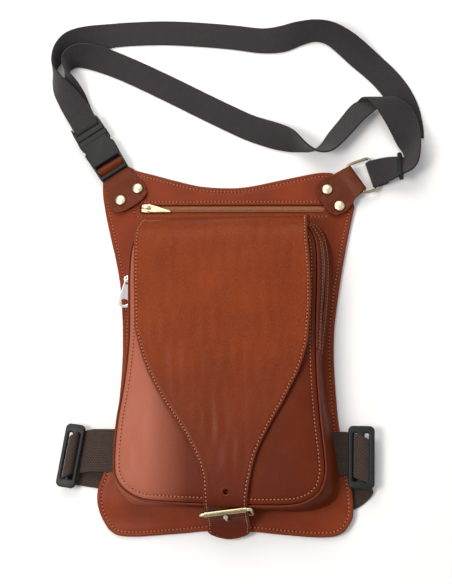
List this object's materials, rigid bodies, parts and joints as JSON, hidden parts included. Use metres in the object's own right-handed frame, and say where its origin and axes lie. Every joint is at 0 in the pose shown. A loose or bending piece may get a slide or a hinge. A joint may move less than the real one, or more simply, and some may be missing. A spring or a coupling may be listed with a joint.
{
  "type": "thigh bag",
  "caption": "Flat hourglass leather thigh bag with a zipped box pocket, a buckled flap, a waist strap and a leg strap.",
  "frame": {"origin": "middle of the bag's flat back face, which rests on the surface", "axes": "+X across the bag to its right side, +Y up the bag to the waist strap, +Z out of its front"},
  "size_m": [0.3575, 0.4949, 0.0481],
  "materials": {
    "leather": "smooth full-grain cowhide, tan red-brown",
    "lug_leather": "smooth full-grain cowhide, darker",
    "webbing": "plain-woven polyester webbing, brown-black",
    "plastic": "moulded acetal, black",
    "brass": "pale brass plating on steel",
    "silver": "nickel-plated zinc",
    "zip": "brown polyester tape with a closed coil chain"
  },
  "bodies": {
    "root": {"back_panel": "leather", "face_panel": "leather", "top_zip": "zip", "top_zip_slider": "brass", "top_zip_puller": "brass", "pocket_back": "leather", "pocket_gusset": "leather", "main_zip": "zip", "pocket_front": "leather", "main_zip_slider": "silver", "main_zip_puller": "silver", "flap": "leather", "flap_buckle_frame": "brass", "flap_buckle_roller": "brass", "flap_buckle_prong": "brass", "buckle_chape": "lug_leather", "lug_left": "lug_leather", "lug_right": "lug_leather", "rivet_left_upper": "brass", "rivet_left_lower": "brass", "rivet_right_upper": "brass", "rivet_right_lower": "brass", "d_ring": "brass", "buckle_female": "plastic", "buckle_male": "plastic", "waist_strap_upper": "webbing", "waist_strap_lower": "webbing", "waist_slider": "plastic", "leg_strap": "webbing", "leg_slider_left": "plastic", "leg_slider_right": "plastic"}
  },
  "joints": []
}
